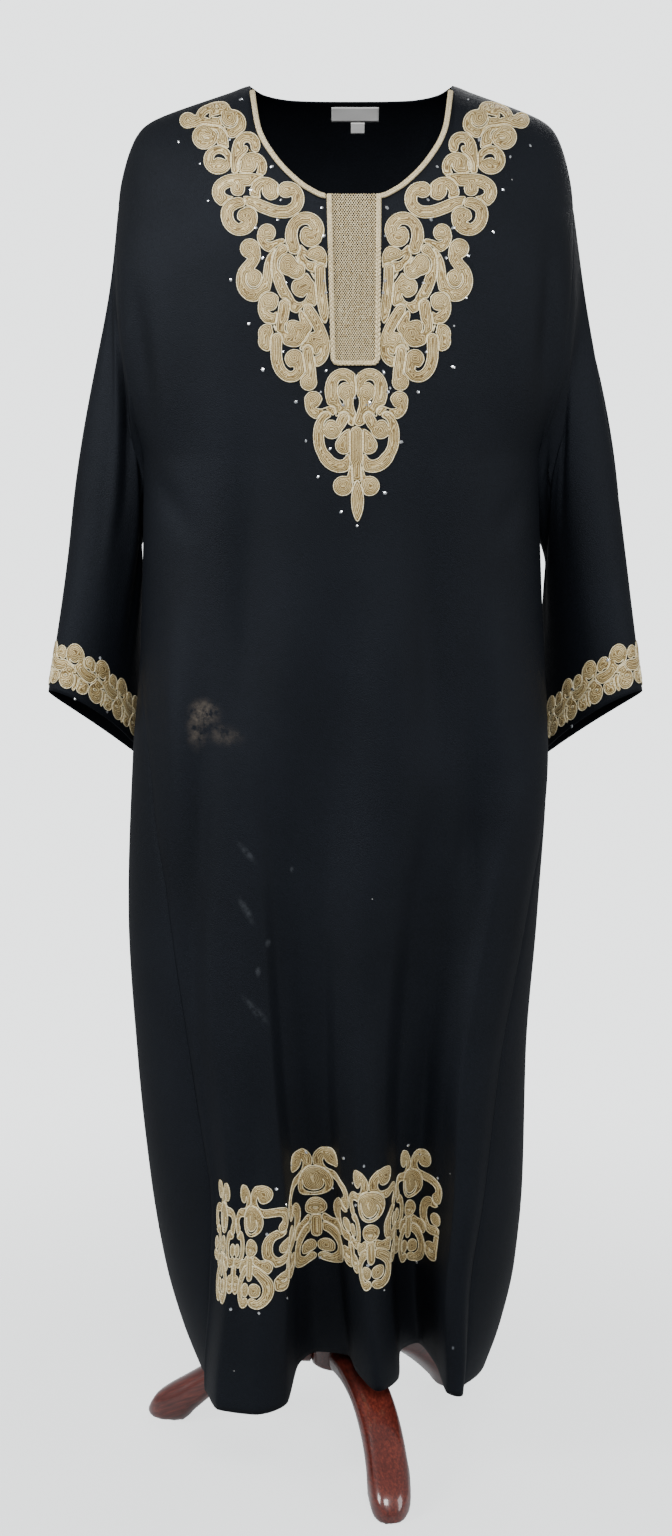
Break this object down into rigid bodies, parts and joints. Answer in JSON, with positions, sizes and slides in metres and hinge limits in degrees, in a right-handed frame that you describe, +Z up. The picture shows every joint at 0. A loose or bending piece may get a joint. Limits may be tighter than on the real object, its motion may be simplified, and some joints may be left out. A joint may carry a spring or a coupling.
{
  "type": "kaftan on a dress form",
  "caption": "Long black kaftan with straight sleeves, gold scroll embroidery, a netted bib and a bound round neck, hanging in folds on a dress form with a wooden tripod stand.",
  "frame": {"origin": "middle of the footprint's box on the floor, straight below the garment", "axes": "+Z up, -Y the front of the kaftan, +X to the right as seen from the front"},
  "size_m": [0.659, 0.396, 1.5224],
  "materials": {
    "black_crepe": "matte black crepe",
    "gold_embroidery": "corded beige-gold satin embroidery, slightly metallic",
    "gold_braid": "corded pale gold braid",
    "gold_net": "open gold net over black",
    "white_satin": "woven satin tape, blank",
    "form_cover": "dark jersey cover",
    "steel_pole": "brushed tube",
    "stained_wood": "red-brown stained, high gloss"
  },
  "bodies": {
    "root": {"back": "black_crepe", "bib_border": "gold_braid", "bib_net": "gold_net", "cuff_scrolls_left": "gold_embroidery", "cuff_scrolls_right": "gold_embroidery", "form_pole": "steel_pole", "form_torso": "form_cover", "front": "black_crepe", "hem_scrolls_1": "gold_embroidery", "hem_scrolls_2": "gold_embroidery", "hem_scrolls_3": "gold_embroidery", "hem_scrolls_4": "gold_embroidery", "leg_front": "stained_wood", "leg_left": "stained_wood", "leg_right_back": "stained_wood", "neck_braid_left": "gold_braid", "neck_braid_right": "gold_braid", "neck_label": "white_satin", "size_tab": "white_satin", "sleeve_left": "black_crepe", "sleeve_right": "black_crepe", "stand_hub": "stained_wood", "yoke_medallion": "gold_embroidery", "yoke_scrolls_left_1": "gold_embroidery", "yoke_scrolls_left_2": "gold_embroidery", "yoke_scrolls_right_1": "gold_embroidery", "yoke_scrolls_right_2": "gold_embroidery"}
  },
  "joints": []
}
